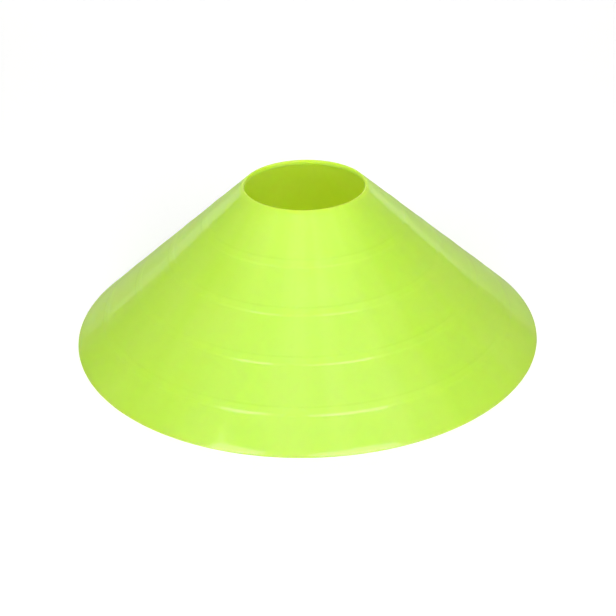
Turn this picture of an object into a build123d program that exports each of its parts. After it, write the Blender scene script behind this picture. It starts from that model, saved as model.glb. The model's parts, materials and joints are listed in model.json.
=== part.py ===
from build123d import *
import os
from math import asin, atan2, cos, hypot, sin, tan

# Sports marker cone: one moulded saucer of thin plastic, open underneath, with a round hole at the top.
# Millimetres. Z is the cone's axis, and z = 0 is the ground that it stands on.

# Overall sizes
BASE_DIAMETER = 190.0  # widest part, at the edge that meets the ground
CONE_HEIGHT = 65.0  # ground to the highest point of the top edge
HOLE_DIAMETER = 48.0  # clear way through the top
WALL = 1.3  # thickness of the shell, square to its flank

# Rings: low raised bands round the outside of the flank
FIRST_RING_HEIGHT = 11.9  # ground to the middle of the lowest ring
RING_PITCH = 12.85  # height from one ring to the next
TOP_BAND = 12.0  # least height from the middle of the top ring to the top edge
RING_WIDTH = 3.9  # across a ring, along the flank
RING_RISE = 0.1  # how far a ring stands out from the flank
RING_EDGE = 0.8  # length along the flank of each of a ring's sloping edges

# Edges
HOLE_BEAD = 0.9  # how far the bead round the hole hangs below the inner face
HOLE_EDGE_ROUND = 0.5  # radius along the top of the hole
BASE_EDGE_ROUND = 0.4  # radius along the outside of the foot
ROUND_PER_WALL = 0.45  # most of the wall that an edge's radius may take


def ring_heights():
    """Heights of the rings, from the lowest up, as many as fit under the top band."""
    heights = []
    height = FIRST_RING_HEIGHT
    while height <= CONE_HEIGHT - TOP_BAND:
        heights.append(height)
        height += RING_PITCH
    return heights


def flank_line(hole_round, base_round):
    """Slope of the flank, and the radius at which its line meets the ground.

    The line touches the rounds along the top of the hole and along the foot.
    """
    run = (BASE_DIAMETER / 2 - base_round) - (HOLE_DIAMETER / 2 + hole_round)
    rise = (CONE_HEIGHT - hole_round) - base_round
    slope = atan2(rise, run) + asin((hole_round - base_round) / hypot(run, rise))
    foot_radius = BASE_DIAMETER / 2 - base_round + base_round * (1 + cos(slope)) / sin(slope)
    return slope, foot_radius


def ring_corners(height, slope, foot_radius):
    """Section of one ring: the feet and the tops of its two sloping edges, from the lower edge up."""
    middle = height / sin(slope)
    half_width = RING_WIDTH / 2
    half_top = half_width - RING_EDGE
    corners = []
    for along, out in ((-half_width, 0), (-half_top, RING_RISE), (half_top, RING_RISE), (half_width, 0)):
        up_flank = middle + along
        radius = foot_radius - up_flank * cos(slope) + out * sin(slope)
        corners.append((radius, up_flank * sin(slope) + out * cos(slope)))
    return corners


def shell_section():
    """Half section of the shell: its corners in order, each with its radius."""
    hole_radius = HOLE_DIAMETER / 2
    hole_round = min(HOLE_EDGE_ROUND, ROUND_PER_WALL * WALL)
    base_round = min(BASE_EDGE_ROUND, ROUND_PER_WALL * WALL)
    slope, foot_radius = flank_line(hole_round, base_round)
    hole_top = (foot_radius - hole_radius) * tan(slope)
    bead_under = hole_top - WALL / cos(slope) - HOLE_BEAD

    section = [((foot_radius, 0), base_round)]
    for height in ring_heights():
        section += [(corner, 0) for corner in ring_corners(height, slope, foot_radius)]
    section += [((hole_radius, hole_top), hole_round)]
    section += [((hole_radius, bead_under), 0)]
    section += [((hole_radius + HOLE_BEAD / tan(slope), bead_under), 0)]
    section += [((foot_radius - WALL / sin(slope), 0), 0)]
    return section


def cone_shell():
    """The whole marker: its half section turned once round the axis."""
    section = shell_section()
    corners = [corner for corner, _ in section]
    radii = [radius for _, radius in section]
    outline = FilletPolyline(*corners, radius=radii, close=True)
    shell = revolve(make_face(Plane.XZ * outline), Axis.Z)
    shell.label = "cone_shell"
    return shell


os.makedirs("parts", exist_ok=True)
export_step(cone_shell(), "parts/cone_shell.step")
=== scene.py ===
import json
import math

import bmesh
import bpy
from bpy.props import FloatProperty, FloatVectorProperty, IntProperty, PointerProperty
from mathutils import Matrix, Vector


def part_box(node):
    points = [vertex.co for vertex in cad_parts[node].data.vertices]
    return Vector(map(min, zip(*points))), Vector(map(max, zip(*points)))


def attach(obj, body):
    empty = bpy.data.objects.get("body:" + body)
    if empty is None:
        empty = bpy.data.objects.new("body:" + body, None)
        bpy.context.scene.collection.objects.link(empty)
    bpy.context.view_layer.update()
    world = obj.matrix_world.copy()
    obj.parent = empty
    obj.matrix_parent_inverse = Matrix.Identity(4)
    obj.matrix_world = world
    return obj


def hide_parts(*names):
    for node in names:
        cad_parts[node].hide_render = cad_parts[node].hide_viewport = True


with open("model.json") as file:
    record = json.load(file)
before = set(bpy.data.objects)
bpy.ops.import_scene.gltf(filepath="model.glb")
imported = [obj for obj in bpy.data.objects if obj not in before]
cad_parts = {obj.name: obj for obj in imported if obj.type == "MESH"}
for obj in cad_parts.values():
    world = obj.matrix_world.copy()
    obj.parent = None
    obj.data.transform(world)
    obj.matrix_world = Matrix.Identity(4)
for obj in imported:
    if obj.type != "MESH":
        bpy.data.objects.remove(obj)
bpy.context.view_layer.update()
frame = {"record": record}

bl_info = {
    "name": "Sports Marker Cone",
    "version": (1, 0, 0),
    "blender": (4, 5, 0),
    "location": "View3D > Sidebar > Marker Cone",
    "description": "Builds a moulded saucer marker cone and a small studio to show it in",
    "category": "Object",
}

MM = 0.001
SHELL_NODE = "cone_shell"
SHELL_BODY = "root"
SHELL_LOW, SHELL_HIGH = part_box(SHELL_NODE)
HOLE_RADIUS = next(m["dims"]["r_mm"] for m in frame["record"]["mounts"] if m["name"] == "top_hole") * MM

# Moulding
CORNER_STEPS = 6  # facets on each rounded corner of the section
WARP_FREE_HEIGHT = 6 * MM  # the warp fades out from here down to the ground

# Patterns in and on the plastic
MID_FLANK_RADIUS = 60 * MM  # where flow lines and scuffs, which run down the flank, have these widths
FLOW_WIDTH = 10 * MM
SCUFF_WIDTH = 0.4 * MM
CLOUD_SIZE = 30 * MM  # from one cloud of thinner pigment to the next
PEEL_SIZE = 4 * MM  # from one swell of the orange peel to the next
PEEL_DEPTH = 0.1 * MM
SCUFF_LENGTH = 10 * MM  # height of flank that one scuff crosses
SCUFF_PATCH = 22 * MM  # from one patch of scuffs to the next
GRIT_SIZE = 1.2 * MM  # from one rubbed spot on the foot to the next
FOOT_WORN_BELOW = 2.0 * MM
FOOT_WORN_FULLY = 0.2 * MM
RIM_DULL_BELOW_TOP = 1.4 * MM  # where the rim of the hole starts to lose its polish
RIM_DULL_FULLY = 0.5 * MM
ROUGHNESS_SPREAD = 0.04  # how far the skin's roughness drifts either way
OUTER_POLISH = 0.32  # strength of the clear gloss on the outer face
INNER_POLISH = 0.03  # and on the inner face and the rim

# Floor, in metres and brightness
FLOOR_HALF = 1.5
FLOOR_LAMPS_REACH = 0.5  # how far from the cone the softboxes light the floor fully
FLOOR_GLOW_NEAR = 0.04
FLOOR_GLOW_EDGE = 0.9
FLOOR_UNMIRRORED = 0.5  # share of the floor that reflections leave out


def linear(hex_colour):
    """Linear red, green and blue of an sRGB hex colour such as #A0C020."""
    channels = [int(hex_colour[start:start + 2], 16) / 255 for start in (1, 3, 5)]
    return [c / 12.92 if c <= 0.04045 else ((c + 0.055) / 1.055) ** 2.4 for c in channels]


def add(tree, kind, inputs=None, **settings):
    """Adds a node with its settings, and fills its inputs with values, sockets or nodes' first outputs."""
    node = tree.nodes.new(kind)
    node.location = (200 * (len(tree.nodes) % 10), -260 * (len(tree.nodes) // 10))
    for name, value in settings.items():
        setattr(node, name, value)
    for key, value in (inputs or {}).items():
        if isinstance(value, bpy.types.Node):
            value = value.outputs[0]
        if isinstance(value, bpy.types.NodeSocket):
            tree.links.new(value, node.inputs[key])
        else:
            node.inputs[key].default_value = value
    return node


# Sizes and colours that a user would change


class ShellSizes(bpy.types.PropertyGroup):
    """Sizes of the moulded shell."""

    base_diameter: FloatProperty(
        name="Base Diameter", description="Widest part, at the edge that meets the ground",
        default=round(SHELL_HIGH.x - SHELL_LOW.x, 4), unit="LENGTH", precision=5)
    height: FloatProperty(
        name="Height", description="Ground to the highest point of the top edge",
        default=round(SHELL_HIGH.z - SHELL_LOW.z, 4), unit="LENGTH", precision=5)
    hole_diameter: FloatProperty(
        name="Hole Diameter", description="Clear way through the top",
        default=2 * HOLE_RADIUS, unit="LENGTH", precision=5)
    wall: FloatProperty(
        name="Wall", description="Thickness of the shell, square to its flank",
        default=1.3 * MM, unit="LENGTH", precision=5)
    first_ring_height: FloatProperty(
        name="First Ring Height", description="Ground to the middle of the lowest ring",
        default=11.9 * MM, unit="LENGTH", precision=5)
    ring_pitch: FloatProperty(
        name="Ring Pitch", description="Height from one ring to the next",
        default=12.85 * MM, unit="LENGTH", precision=5)
    ring_count: IntProperty(
        name="Ring Count", description="How many rings go round the flank", default=4, min=1)
    ring_width: FloatProperty(
        name="Ring Width", description="Across a ring, along the flank",
        default=3.9 * MM, unit="LENGTH", precision=5)
    ring_rise: FloatProperty(
        name="Ring Rise", description="How far a ring stands out from the flank",
        default=0.1 * MM, unit="LENGTH", precision=5)
    ring_edge: FloatProperty(
        name="Ring Edge", description="Length along the flank of each of a ring's sloping edges",
        default=0.8 * MM, unit="LENGTH", precision=5)
    ring_blend: FloatProperty(
        name="Ring Blend", description="Radius that eases a ring's edges into the flank",
        default=6.0 * MM, unit="LENGTH", precision=5)
    hole_bead: FloatProperty(
        name="Hole Bead", description="How far the bead round the hole hangs below the inner face",
        default=0.9 * MM, unit="LENGTH", precision=5)
    hole_edge_round: FloatProperty(
        name="Hole Edge Round", description="Radius along the top of the hole",
        default=0.5 * MM, unit="LENGTH", precision=5)
    base_edge_round: FloatProperty(
        name="Base Edge Round", description="Radius along the outside of the foot",
        default=0.4 * MM, unit="LENGTH", precision=5)
    inner_edge_round: FloatProperty(
        name="Inner Edge Round", description="Radius along the bead's and the foot's inner corners",
        default=0.2 * MM, unit="LENGTH", precision=5)
    warp: FloatProperty(
        name="Warp", description="Unevenness that the moulding takes as it cools",
        default=0.10 * MM, unit="LENGTH", precision=5)
    warp_size: FloatProperty(
        name="Warp Size", description="Distance from one swell of the unevenness to the next",
        default=45 * MM, unit="LENGTH", precision=5)
    turn_steps: IntProperty(
        name="Turn Steps", description="Facets round the axis", default=288, min=24)
    row_spacing: FloatProperty(
        name="Row Spacing", description="Longest facet along the flank",
        default=2.6 * MM, unit="LENGTH", precision=5)


class ShellFinish(bpy.types.PropertyGroup):
    """Colours and gloss of the plastic, and the painted glow laid on it."""

    body: FloatVectorProperty(
        name="Body", description="Main colour of the pigmented plastic",
        default=linear("#B4FD4B"), size=3, min=0, max=1, subtype="COLOR")
    streak: FloatVectorProperty(
        name="Streak", description="Colour where the pigment flowed a little thinner",
        default=linear("#BAFD55"), size=3, min=0, max=1, subtype="COLOR")
    scuff: FloatVectorProperty(
        name="Scuff", description="Colour of the rubbed plastic along the foot",
        default=linear("#D6F57E"), size=3, min=0, max=1, subtype="COLOR")
    roughness: FloatProperty(
        name="Roughness", description="Roughness of the polished skin",
        default=0.45, min=0, max=1, subtype="FACTOR")
    # Painted glow: the plastic is given a steady emission of this colour, the same under any lamp. It
    # stands in for the fluorescence of its pigment and also lifts its shaded sides and its inside.
    glow: FloatVectorProperty(
        name="Glow", description="Colour that the fluorescent pigment gives back",
        default=linear("#FFEB20"), size=3, min=0, max=1, subtype="COLOR")
    painted_glow_strength: FloatProperty(
        name="Glow Strength", description="Brightness of the pigment's own light", default=0.024, min=0)
    # Painted light on the inner face: a stronger emission there stands in for light that the thin wall lets
    # through.
    painted_inner_glow: FloatProperty(
        name="Inner Glow", description="Brightness of the light that the wall passes to the inner face",
        default=0.078, min=0)
    glow_depth: FloatProperty(
        name="Glow Depth", description="How far light travels in the plastic",
        default=7.8 * MM, unit="LENGTH", precision=5)


class Studio(bpy.types.PropertyGroup):
    """Camera, floor and lights."""

    camera_place: FloatVectorProperty(
        name="Camera Place", description="Where the camera stands",
        default=(0.0, -0.5001, 0.2877), size=3, subtype="XYZ", unit="LENGTH")
    camera_target: FloatVectorProperty(
        name="Camera Target", description="Point at the middle of the picture",
        default=(0.00043, 0.0, 0.0088), size=3, subtype="XYZ", unit="LENGTH")
    camera_roll: FloatProperty(
        name="Camera Roll", description="Lean of the camera, right side down",
        default=math.radians(1.10), subtype="ANGLE")
    lens: FloatProperty(
        name="Lens", description="Focal length on a 36 mm sensor, in millimetres", default=80.48)
    floor: FloatVectorProperty(
        name="Floor", description="Colour of the floor",
        default=linear("#FCFCFB"), size=3, min=0, max=1, subtype="COLOR")
    floor_burn: FloatProperty(
        name="Floor Burn", description="Brightness that the camera sees added to the floor",
        default=0.15, min=0)
    surround: FloatVectorProperty(
        name="Surround", description="Colour of the dim studio round the floor, as the cone sees it",
        default=linear("#1C1C1C"), size=3, min=0, max=1, subtype="COLOR")
    backdrop: FloatVectorProperty(
        name="Backdrop", description="Colour beyond the floor, as the camera sees it",
        default=linear("#FFFFFF"), size=3, min=0, max=1, subtype="COLOR")
    right_light: FloatProperty(
        name="Right Light", description="Brightness of the front right softbox", default=5.4)
    left_light: FloatProperty(
        name="Left Light", description="Brightness of the front left softbox", default=5.5)
    top_light: FloatProperty(
        name="Top Light", description="Brightness of the softbox over the cone", default=1.1)
    back_light: FloatProperty(
        name="Back Light", description="Brightness of the softbox behind the cone", default=3.4)
    panel_light: FloatProperty(
        name="Panel Light", description="Brightness of the two panels that edge the cone's sides",
        default=2.1)


# The moulded shell


def flank_line(sizes):
    """Slope of the flank, and the radius at which its line meets the ground.

    The line touches both rounded edges.
    """
    base_round, hole_round = sizes.base_edge_round, sizes.hole_edge_round
    run = (sizes.base_diameter / 2 - base_round) - (sizes.hole_diameter / 2 + hole_round)
    rise = (sizes.height - hole_round) - base_round
    slope = math.atan2(rise, run) + math.asin((hole_round - base_round) / math.hypot(run, rise))
    foot = sizes.base_diameter / 2 - base_round + base_round * (1 + math.cos(slope)) / math.sin(slope)
    return slope, foot


def shell_inputs(sizes, material):
    """The shell tree's inputs: name, kind of socket and value."""
    slope, foot_radius = flank_line(sizes)
    length, angle, count = "NodeSocketFloat", "NodeSocketFloat", "NodeSocketInt"
    return [
        ("Foot Radius", length, foot_radius),
        ("Flank Slope", angle, slope),
        ("Hole Radius", length, sizes.hole_diameter / 2),
        ("Wall", length, sizes.wall),
        ("First Ring Height", length, sizes.first_ring_height),
        ("Ring Pitch", length, sizes.ring_pitch),
        ("Ring Count", count, sizes.ring_count),
        ("Ring Width", length, sizes.ring_width),
        ("Ring Rise", length, sizes.ring_rise),
        ("Ring Edge", length, sizes.ring_edge),
        ("Ring Blend", length, sizes.ring_blend),
        ("Hole Bead", length, sizes.hole_bead),
        ("Hole Edge Round", length, sizes.hole_edge_round),
        ("Base Edge Round", length, sizes.base_edge_round),
        ("Inner Edge Round", length, sizes.inner_edge_round),
        ("Warp", length, sizes.warp),
        ("Warp Size", length, sizes.warp_size),
        ("Turn Steps", count, sizes.turn_steps),
        ("Row Spacing", length, sizes.row_spacing),
        ("Plastic", "NodeSocketMaterial", material),
    ]


def section_corner(tree, radius, height, round_radius):
    """One corner of the shell's section, as a point that carries its rounding."""
    place = add(tree, "ShaderNodeCombineXYZ", {"X": radius, "Y": height})
    point = add(tree, "GeometryNodeMeshLine", {"Count": 1, "Start Location": place})
    return add(tree, "GeometryNodeStoreNamedAttribute",
               {"Geometry": point, "Name": "round", "Value": round_radius})


def shell_section(tree, size):
    """Half section of the shell as a closed curve, with radius along X and height along Y."""
    sine = add(tree, "ShaderNodeMath", {0: size["Flank Slope"]}, operation="SINE")
    cosine = add(tree, "ShaderNodeMath", {0: size["Flank Slope"]}, operation="COSINE")
    run_per_rise = add(tree, "ShaderNodeMath", {0: cosine, 1: sine}, operation="DIVIDE")
    inwards = add(tree, "ShaderNodeMath", {0: cosine, 1: -1.0}, operation="MULTIPLY")
    up_the_flank = add(tree, "ShaderNodeCombineXYZ", {"X": inwards, "Y": sine})
    out_of_flank = add(tree, "ShaderNodeCombineXYZ", {"X": sine, "Y": cosine})

    # Middles of the rings, in a row up the flank
    foot = add(tree, "ShaderNodeCombineXYZ", {"X": size["Foot Radius"]})
    first_along = add(tree, "ShaderNodeMath", {0: size["First Ring Height"], 1: sine}, operation="DIVIDE")
    first = add(tree, "ShaderNodeVectorMath", {0: up_the_flank, "Scale": first_along}, operation="SCALE")
    first = add(tree, "ShaderNodeVectorMath", {0: foot, 1: first})
    pitch_along = add(tree, "ShaderNodeMath", {0: size["Ring Pitch"], 1: sine}, operation="DIVIDE")
    to_next = add(tree, "ShaderNodeVectorMath", {0: up_the_flank, "Scale": pitch_along}, operation="SCALE")
    middles = add(tree, "GeometryNodeMeshLine",
                  {"Count": size["Ring Count"], "Start Location": first, "Offset": to_next})

    # Four corners to a ring: the feet of its two sloping edges, and their tops
    half_width = add(tree, "ShaderNodeMath", {0: size["Ring Width"], 1: 0.5}, operation="MULTIPLY")
    half_top = add(tree, "ShaderNodeMath", {0: half_width, 1: size["Ring Edge"]}, operation="SUBTRACT")
    rise = add(tree, "ShaderNodeVectorMath", {0: out_of_flank, "Scale": size["Ring Rise"]},
               operation="SCALE")
    rings = add(tree, "GeometryNodeJoinGeometry")
    for half, lift in ((half_width, 0.0), (half_top, 1.0)):
        for side in (-1.0, 1.0):
            along = add(tree, "ShaderNodeMath", {0: half, 1: side}, operation="MULTIPLY")
            along = add(tree, "ShaderNodeVectorMath", {0: up_the_flank, "Scale": along}, operation="SCALE")
            offset = add(tree, "ShaderNodeVectorMath", {0: rise, 1: (lift, lift, lift), 2: along},
                         operation="MULTIPLY_ADD")
            corners = add(tree, "GeometryNodeSetPosition", {"Geometry": middles, "Offset": offset})
            tree.links.new(corners.outputs[0], rings.inputs[0])
    rings = add(tree, "GeometryNodeStoreNamedAttribute",
                {"Geometry": rings, "Name": "round", "Value": size["Ring Blend"]})

    # Ends of the two faces: the foot, the top of the hole, and the bead under it
    flank_run = add(tree, "ShaderNodeMath", {0: size["Foot Radius"], 1: size["Hole Radius"]},
                    operation="SUBTRACT")
    hole_top = add(tree, "ShaderNodeMath", {0: flank_run, 1: run_per_rise}, operation="DIVIDE")
    wall_fall = add(tree, "ShaderNodeMath", {0: size["Wall"], 1: cosine}, operation="DIVIDE")
    inner_top = add(tree, "ShaderNodeMath", {0: hole_top, 1: wall_fall}, operation="SUBTRACT")
    bead_under = add(tree, "ShaderNodeMath", {0: inner_top, 1: size["Hole Bead"]}, operation="SUBTRACT")
    bead_root = add(tree, "ShaderNodeMath", {0: size["Hole Bead"], 1: run_per_rise, 2: size["Hole Radius"]},
                    operation="MULTIPLY_ADD")
    bead_middle = add(tree, "ShaderNodeMath", {0: size["Hole Bead"], 1: 0.5, 2: size["Hole Radius"]},
                      operation="MULTIPLY_ADD")
    wall_run = add(tree, "ShaderNodeMath", {0: wall_fall, 1: run_per_rise}, operation="MULTIPLY")
    foot_inside = add(tree, "ShaderNodeMath", {0: size["Foot Radius"], 1: wall_run}, operation="SUBTRACT")
    outer_face = [
        section_corner(tree, size["Foot Radius"], 0.0, size["Base Edge Round"]),
        rings,
        section_corner(tree, size["Hole Radius"], hole_top, size["Hole Edge Round"]),
    ]
    inner_face = [
        section_corner(tree, size["Hole Radius"], bead_under, size["Inner Edge Round"]),
        section_corner(tree, bead_root, bead_under, size["Inner Edge Round"]),
        section_corner(tree, foot_inside, 0.0, size["Inner Edge Round"]),
    ]

    # One closed line: up the outer face by height, then out along the inner face by radius
    place = add(tree, "ShaderNodeSeparateXYZ", {0: add(tree, "GeometryNodeInputPosition")})
    after_top = add(tree, "ShaderNodeMath", {0: hole_top, 1: place.outputs["X"]})
    past_hole = add(tree, "ShaderNodeMath", {0: place.outputs["X"], 1: bead_middle},
                    operation="GREATER_THAN")
    corners = add(tree, "GeometryNodeJoinGeometry")
    for face, order, inside in ((outer_face, place.outputs["Y"], 0.0), (inner_face, after_top, past_hole)):
        joined = add(tree, "GeometryNodeJoinGeometry")
        for piece in face:
            tree.links.new(piece.outputs[0], joined.inputs[0])
        for name, value in (("order", order), ("inside", inside)):
            joined = add(tree, "GeometryNodeStoreNamedAttribute",
                         {"Geometry": joined, "Name": name, "Value": value})
        tree.links.new(joined.outputs[0], corners.inputs[0])
    points = add(tree, "GeometryNodeMeshToPoints", {"Mesh": corners})
    line = add(tree, "GeometryNodePointsToCurves", {
        "Points": points, "Weight": add(tree, "GeometryNodeInputNamedAttribute", {"Name": "order"})})
    line = add(tree, "GeometryNodeSetSplineCyclic", {"Geometry": line, "Cyclic": True})
    return add(tree, "GeometryNodeFilletCurve", {
        "Curve": line, "Count": CORNER_STEPS, "Limit Radius": True,
        "Radius": add(tree, "GeometryNodeInputNamedAttribute", {"Name": "round"})}, mode="POLY")


def turned_shell(tree, size, section):
    """The section turned once round the axis, with long facets divided."""
    index = add(tree, "GeometryNodeInputIndex")
    after = add(tree, "GeometryNodeOffsetPointInCurve", {"Point Index": index, "Offset": 1})
    here = add(tree, "GeometryNodeInputPosition")
    there = add(tree, "GeometryNodeFieldAtIndex",
                {"Index": after.outputs["Point Index"]}, data_type="FLOAT_VECTOR", domain="POINT")
    tree.links.new(here.outputs[0], there.inputs["Value"])
    facet = add(tree, "ShaderNodeVectorMath", {0: here, 1: there}, operation="DISTANCE")
    cuts = add(tree, "ShaderNodeMath", {0: facet.outputs["Value"], 1: size["Row Spacing"]},
               operation="DIVIDE")
    section = add(tree, "GeometryNodeSubdivideCurve", {"Curve": section, "Cuts": cuts})

    # A circle's second normal points down, so the section is turned over before it is swept.
    to_circle = add(tree, "ShaderNodeMath", {0: size["Hole Radius"], 1: -1.0}, operation="MULTIPLY")
    to_circle = add(tree, "ShaderNodeCombineXYZ", {"X": to_circle})
    section = add(tree, "GeometryNodeTransform",
                  {"Geometry": section, "Translation": to_circle, "Scale": (1.0, -1.0, 1.0)})
    circle = add(tree, "GeometryNodeCurvePrimitiveCircle",
                 {"Resolution": size["Turn Steps"], "Radius": size["Hole Radius"]})
    circle = add(tree, "GeometryNodeSetCurveNormal", {"Curve": circle}, mode="Z_UP")
    turned = add(tree, "GeometryNodeCurveToMesh", {"Curve": circle, "Profile Curve": section})
    return add(tree, "GeometryNodeFlipFaces", {"Mesh": turned})


def warped(tree, size, shell):
    """The shell with the slight swells of a moulding that cooled unevenly. The foot stays flat."""
    place = add(tree, "GeometryNodeInputPosition")
    outwards = add(tree, "ShaderNodeVectorMath", {0: place, 1: (1.0, 1.0, 0.0)}, operation="MULTIPLY")
    outwards = add(tree, "ShaderNodeVectorMath", {0: outwards}, operation="NORMALIZE")
    per_metre = add(tree, "ShaderNodeMath", {0: 1.0, 1: size["Warp Size"]}, operation="DIVIDE")
    swells = add(tree, "ShaderNodeTexNoise", {"Vector": place, "Scale": per_metre, "Detail": 1.0})
    swells = add(tree, "ShaderNodeMath", {0: swells, 1: 0.5}, operation="SUBTRACT")
    height = add(tree, "ShaderNodeSeparateXYZ", {0: place})
    lifted = add(tree, "ShaderNodeMapRange", {"Value": height.outputs["Z"], "From Max": WARP_FREE_HEIGHT},
                 interpolation_type="SMOOTHSTEP")
    reach = add(tree, "ShaderNodeMath", {0: swells, 1: lifted}, operation="MULTIPLY")
    reach = add(tree, "ShaderNodeMath", {0: reach, 1: size["Warp"]}, operation="MULTIPLY")
    offset = add(tree, "ShaderNodeVectorMath", {0: outwards, "Scale": reach}, operation="SCALE")
    return add(tree, "GeometryNodeSetPosition", {"Geometry": shell, "Offset": offset})


def shell_tree(inputs):
    """Geometry nodes that draw the shell's section from its sizes and turn it into the cone."""
    tree = bpy.data.node_groups.new("Turned Shell", "GeometryNodeTree")
    tree.is_modifier = True
    for name, kind, _ in inputs:
        tree.interface.new_socket(name, in_out="INPUT", socket_type=kind)
    tree.interface.new_socket("Shell", in_out="OUTPUT", socket_type="NodeSocketGeometry")
    size = add(tree, "NodeGroupInput").outputs
    shell = turned_shell(tree, size, shell_section(tree, size))
    shell = warped(tree, size, shell)
    shell = add(tree, "GeometryNodeSetShadeSmooth", {"Geometry": shell})
    shell = add(tree, "GeometryNodeRealizeInstances", {"Geometry": shell})
    shell = add(tree, "GeometryNodeSetMaterial", {"Geometry": shell, "Material": size["Plastic"]})
    add(tree, "NodeGroupOutput", {"Shell": shell})
    return tree


def moulded_ldpe(finish):
    """Low-density polyethylene with fluorescent pigment, injection moulded in a polished tool.

    It gives the eye a bright yellow-green that seems lit from within, and a waxy gloss with soft
    reflections. The inner face and the rim of the hole are dull. A painted glow, a steady emission,
    lies faintly over the whole plastic for the fluorescence of its pigment, and more strongly on the
    inner face, as a deeper, yellower green, for light that has come through the thin wall.
    """
    material = bpy.data.materials.new("moulded_ldpe_lime")
    material.use_nodes = True
    tree = material.node_tree
    tree.nodes.clear()
    place = add(tree, "ShaderNodeTexCoord").outputs["Object"]

    # Flow lines run down the flank from the hole, so they depend on the direction from the axis alone.
    outwards = add(tree, "ShaderNodeVectorMath", {0: place, 1: (1.0, 1.0, 0.0)}, operation="MULTIPLY")
    outwards = add(tree, "ShaderNodeVectorMath", {0: outwards}, operation="NORMALIZE")
    flow = add(tree, "ShaderNodeTexNoise",
               {"Vector": outwards, "Scale": MID_FLANK_RADIUS / FLOW_WIDTH, "Detail": 3.0})
    clouds = add(tree, "ShaderNodeTexNoise", {"Vector": place, "Scale": 1 / CLOUD_SIZE, "Detail": 2.0})
    thin = add(tree, "ShaderNodeMath", {0: flow, 1: clouds}, operation="MULTIPLY")
    thin = add(tree, "ShaderNodeMapRange", {"Value": thin, "From Min": 0.12, "From Max": 0.40})
    colour = add(tree, "ShaderNodeMix", {"Factor": thin, "A": (*finish.body, 1), "B": (*finish.streak, 1)},
                 data_type="RGBA")

    # The foot is rubbed pale and dull by the ground, in patches of about a millimetre.
    height = add(tree, "ShaderNodeSeparateXYZ", {0: place}).outputs["Z"]
    low = add(tree, "ShaderNodeMapRange",
              {"Value": height, "From Min": FOOT_WORN_BELOW, "From Max": FOOT_WORN_FULLY})
    grit = add(tree, "ShaderNodeTexNoise", {"Vector": place, "Scale": 1 / GRIT_SIZE, "Detail": 4.0})
    worn = add(tree, "ShaderNodeMath", {0: low, 1: grit}, operation="MULTIPLY")
    worn = add(tree, "ShaderNodeMapRange",
               {"Value": worn, "From Min": 0.25, "From Max": 0.65, "To Max": 0.6})
    colour = add(tree, "ShaderNodeMix",
                 {"Factor": worn, "A": colour.outputs["Result"], "B": (*finish.scuff, 1)}, data_type="RGBA")

    # The rim of the hole loses its polish to poles and carriers.
    rim = add(tree, "ShaderNodeMapRange", {
        "Value": height,
        "From Min": SHELL_HIGH.z - RIM_DULL_BELOW_TOP,
        "From Max": SHELL_HIGH.z - RIM_DULL_FULLY,
    })

    # Fine scuffs from stacking run down the flank and gather in patches.
    around = add(tree, "ShaderNodeVectorMath", {0: outwards, "Scale": MID_FLANK_RADIUS / SCUFF_WIDTH},
                 operation="SCALE")
    down = add(tree, "ShaderNodeMath", {0: height, 1: SCUFF_LENGTH}, operation="DIVIDE")
    down = add(tree, "ShaderNodeCombineXYZ", {"Z": down})
    lines = add(tree, "ShaderNodeVectorMath", {0: around, 1: down})
    lines = add(tree, "ShaderNodeTexNoise", {"Vector": lines, "Scale": 1.0, "Detail": 2.0})
    lines = add(tree, "ShaderNodeMapRange", {"Value": lines, "From Min": 0.60, "From Max": 0.75})
    patches = add(tree, "ShaderNodeTexNoise", {"Vector": place, "Scale": 1 / SCUFF_PATCH, "Detail": 1.0})
    patches = add(tree, "ShaderNodeMapRange", {"Value": patches, "From Min": 0.45, "From Max": 0.65})
    scuffs = add(tree, "ShaderNodeMath", {0: lines, 1: patches}, operation="MULTIPLY")

    # Roughness: the skin's own, and more on the scuffs, the foot, the rim and the inner face
    inside = add(tree, "ShaderNodeAttribute", attribute_name="inside").outputs["Fac"]
    rough = add(tree, "ShaderNodeMapRange", {
        "Value": clouds,
        "To Min": finish.roughness - ROUGHNESS_SPREAD,
        "To Max": finish.roughness + ROUGHNESS_SPREAD,
    })
    for mask, more in ((scuffs, 0.10), (worn, 0.20), (rim, 0.15), (inside, 0.15)):
        rough = add(tree, "ShaderNodeMath", {0: mask, 1: more, 2: rough}, operation="MULTIPLY_ADD")

    # Polish on the outer face alone, and painted glow: strong on the inner face for light come through the
    # wall, faint on the outer face
    dull = add(tree, "ShaderNodeMath", {0: inside, 1: rim}, operation="MAXIMUM")
    polish = add(tree, "ShaderNodeMapRange",
                 {"Value": dull, "To Min": OUTER_POLISH, "To Max": INNER_POLISH})
    glow = add(tree, "ShaderNodeMapRange",
               {"Value": inside, "To Min": finish.painted_glow_strength, "To Max": finish.painted_inner_glow})

    # The faint orange peel of a soft moulding
    peel = add(tree, "ShaderNodeTexNoise", {"Vector": place, "Scale": 1 / PEEL_SIZE, "Detail": 1.0})
    skin = add(tree, "ShaderNodeBump", {"Height": peel, "Strength": 0.06, "Distance": PEEL_DEPTH})

    shader = add(tree, "ShaderNodeBsdfPrincipled", {
        "Base Color": colour.outputs["Result"],
        "Roughness": rough,
        "Normal": skin,
        "IOR": 1.51,
        "Specular IOR Level": 0.12,
        "Coat Weight": polish,
        "Coat Roughness": 0.08,
        "Coat IOR": 2.0,
        "Coat Normal": skin,
        "Subsurface Weight": 1.0,
        "Subsurface Radius": (1.0, 0.77, 0.1),
        "Subsurface Scale": finish.glow_depth,
        # Painted glow: emission of the same strength under any lamp
        "Emission Color": (*finish.glow, 1),
        "Emission Strength": glow,
    })
    add(tree, "ShaderNodeOutputMaterial", {"Surface": shader})
    return material


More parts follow.
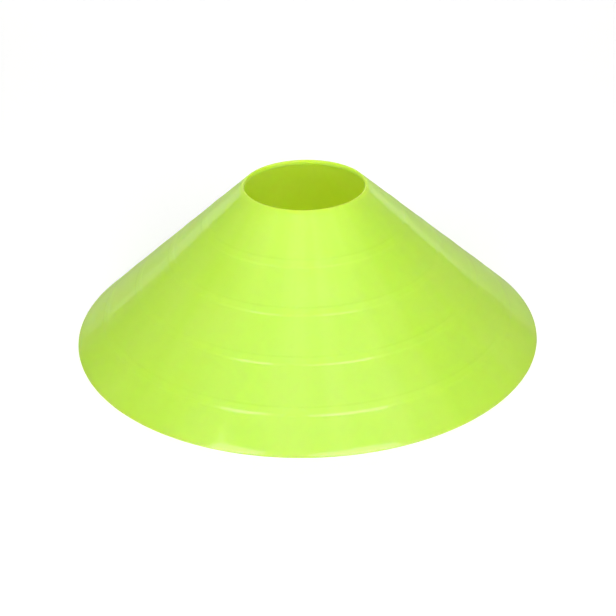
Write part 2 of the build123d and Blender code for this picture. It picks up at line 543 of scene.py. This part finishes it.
class MARKERCONE_OT_shell(bpy.types.Operator):
    """Turn the moulded shell and give it its plastic"""

    bl_idname = "marker_cone.shell"
    bl_label = "Moulded Shell"

    def execute(self, context):
        plastic = moulded_ldpe(context.scene.marker_cone_finish)
        inputs = shell_inputs(context.scene.marker_cone_sizes, plastic)
        tree = shell_tree(inputs)
        shell = bpy.data.objects.new("moulded_shell", bpy.data.meshes.new("moulded_shell"))
        context.scene.collection.objects.link(shell)
        modifier = shell.modifiers.new("Turned Shell", "NODES")
        modifier.node_group = tree
        sockets = [item for item in tree.interface.items_tree if item.in_out == "INPUT"]
        identifiers = {socket.name: socket.identifier for socket in sockets}
        for name, _, value in inputs:
            modifier[identifiers[name]] = value
        depsgraph = context.evaluated_depsgraph_get()
        mesh = bpy.data.meshes.new_from_object(shell.evaluated_get(depsgraph), depsgraph=depsgraph)
        shell.modifiers.clear()
        shell.data = mesh
        solid = bmesh.new()
        solid.from_mesh(mesh)
        volume = solid.calc_volume(signed=True)
        solid.free()
        if volume <= 0:
            raise RuntimeError("the shell is inside out or empty")
        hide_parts(SHELL_NODE)
        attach(shell, SHELL_BODY)
        return {"FINISHED"}


# The studio


def softbox(context, name, brightness, azimuth, elevation, distance, width, height, spread=180):
    """A rectangular area light that faces the cone. Azimuth 0 is in front, and 90 is on the right.

    A spread under 180 degrees makes it fade towards its edges, seen from the cone.
    Angles are in degrees, and lengths are in metres.
    """
    light = bpy.data.lights.new(name, "AREA")
    light.shape = "RECTANGLE"
    light.size, light.size_y = width, height
    light.spread = math.radians(spread)
    fade = 1 - light.spread / 2 / math.tan(light.spread / 2)
    light.energy = brightness * math.pi * width * height * fade
    lamp = bpy.data.objects.new(name, light)
    context.scene.collection.objects.link(lamp)
    turn, lift = math.radians(azimuth), math.radians(elevation)
    away = Vector((math.sin(turn) * math.cos(lift), -math.cos(turn) * math.cos(lift), math.sin(lift)))
    lamp.location = away * distance
    lamp.rotation_euler = (-away).to_track_quat("-Z", "Y").to_euler()


def light_table(studio):
    """Matt white acrylic, faintly lit from below, and more so towards the edges that the lamps leave dark.

    It gives the eye a floor that runs into the backdrop without a line.
    """
    material = bpy.data.materials.new("matt_white_acrylic")
    material.use_nodes = True
    tree = material.node_tree
    tree.nodes.clear()
    place = add(tree, "ShaderNodeTexCoord").outputs["Object"]
    reach = add(tree, "ShaderNodeVectorMath", {0: place}, operation="LENGTH").outputs["Value"]
    glow = add(tree, "ShaderNodeMapRange", {
        "Value": reach, "From Min": FLOOR_LAMPS_REACH, "From Max": FLOOR_HALF,
        "To Min": FLOOR_GLOW_NEAR, "To Max": FLOOR_GLOW_EDGE})
    # The picture is exposed for the cone, so the camera sees the floor burn out to white.
    light_path = add(tree, "ShaderNodeLightPath").outputs
    glow = add(tree, "ShaderNodeMath", {0: light_path["Is Camera Ray"], 1: studio.floor_burn, 2: glow},
               operation="MULTIPLY_ADD")
    shader = add(tree, "ShaderNodeBsdfPrincipled", {
        "Base Color": (*studio.floor, 1),
        "Roughness": 0.9,
        "Emission Color": (*studio.floor, 1),
        "Emission Strength": glow,
    })
    # Reflections see only a share of it, so that the edges of a glossy piece don't turn white.
    unmirrored = add(tree, "ShaderNodeMath", {0: light_path["Is Glossy Ray"], 1: FLOOR_UNMIRRORED},
                     operation="MULTIPLY")
    clear = add(tree, "ShaderNodeBsdfTransparent")
    shader = add(tree, "ShaderNodeMixShader", {0: unmirrored, 1: shader, 2: clear})
    add(tree, "ShaderNodeOutputMaterial", {"Surface": shader})
    return material


class MARKERCONE_OT_stage(bpy.types.Operator):
    """Lay the floor, hang the lights and set up the camera"""

    bl_idname = "marker_cone.stage"
    bl_label = "Studio"

    def execute(self, context):
        studio = context.scene.marker_cone_studio
        scene = context.scene

        mesh = bpy.data.meshes.new("floor")
        corners = [(x * FLOOR_HALF, y * FLOOR_HALF, 0) for x, y in ((-1, -1), (1, -1), (1, 1), (-1, 1))]
        mesh.from_pydata(corners, [], [(0, 1, 2, 3)])
        floor = bpy.data.objects.new("floor", mesh)
        scene.collection.objects.link(floor)
        mesh.materials.append(light_table(studio))

        softbox(context, "right_softbox", studio.right_light, azimuth=24, elevation=28, distance=1.3,
                width=0.80, height=1.2, spread=120)
        softbox(context, "left_softbox", studio.left_light, azimuth=-38.5, elevation=26.5, distance=1.3,
                width=0.47, height=1.2, spread=120)
        softbox(context, "top_softbox", studio.top_light, azimuth=0, elevation=68, distance=1.3,
                width=2.8, height=1.7, spread=100)
        softbox(context, "back_softbox", studio.back_light, azimuth=180, elevation=21, distance=1.4,
                width=1.2, height=0.7)
        softbox(context, "rear_left_panel", studio.panel_light, azimuth=206, elevation=11.5, distance=1.6,
                width=0.80, height=0.62, spread=44)
        softbox(context, "rear_right_panel", studio.panel_light, azimuth=155, elevation=11.5, distance=1.6,
                width=0.72, height=0.62, spread=44)

        world = bpy.data.worlds.new("studio")
        world.use_nodes = True
        tree = world.node_tree
        seen = add(tree, "ShaderNodeLightPath").outputs["Is Camera Ray"]
        colour = add(tree, "ShaderNodeMix", {
            "Factor": seen, "A": (*studio.surround, 1), "B": (*studio.backdrop, 1)}, data_type="RGBA")
        tree.links.new(colour.outputs["Result"], tree.nodes["Background"].inputs["Color"])
        scene.world = world
        scene.view_settings.view_transform = "Standard"

        camera = bpy.data.objects.new("camera", bpy.data.cameras.new("camera"))
        scene.collection.objects.link(camera)
        camera.data.lens = studio.lens
        place, target = Vector(studio.camera_place), Vector(studio.camera_target)
        ahead = (target - place).normalized()
        turn = Matrix.Rotation(studio.camera_roll, 3, ahead)
        right = turn @ ahead.cross(Vector((0, 0, 1))).normalized()
        up = right.cross(ahead)
        camera.matrix_world = Matrix((right, up, -ahead)).transposed().to_4x4()
        camera.location = place
        scene.camera = camera
        return {"FINISHED"}


class MARKERCONE_PT_panel(bpy.types.Panel):
    """Buttons and sizes of the marker cone"""

    bl_idname = "MARKERCONE_PT_panel"
    bl_label = "Marker Cone"
    bl_space_type = "VIEW_3D"
    bl_region_type = "UI"
    bl_category = "Marker Cone"

    def draw(self, context):
        for group, operator in (("sizes", "shell"), ("finish", None), ("studio", "stage")):
            values = getattr(context.scene, "marker_cone_" + group)
            box = self.layout.box()
            for name in values.bl_rna.properties.keys():
                if name not in ("rna_type", "name"):
                    box.prop(values, name)
            if operator:
                box.operator("marker_cone." + operator)


GROUPS = {"sizes": ShellSizes, "finish": ShellFinish, "studio": Studio}
CLASSES = (*GROUPS.values(), MARKERCONE_OT_shell, MARKERCONE_OT_stage, MARKERCONE_PT_panel)


def register():
    for cls in CLASSES:
        bpy.utils.register_class(cls)
    for name, group in GROUPS.items():
        setattr(bpy.types.Scene, "marker_cone_" + name, PointerProperty(type=group))


def unregister():
    for name in GROUPS:
        delattr(bpy.types.Scene, "marker_cone_" + name)
    for cls in reversed(CLASSES):
        bpy.utils.unregister_class(cls)


def main():
    register()
    bpy.ops.marker_cone.shell()
    bpy.ops.marker_cone.stage()


if __name__ == "__main__":
    main()
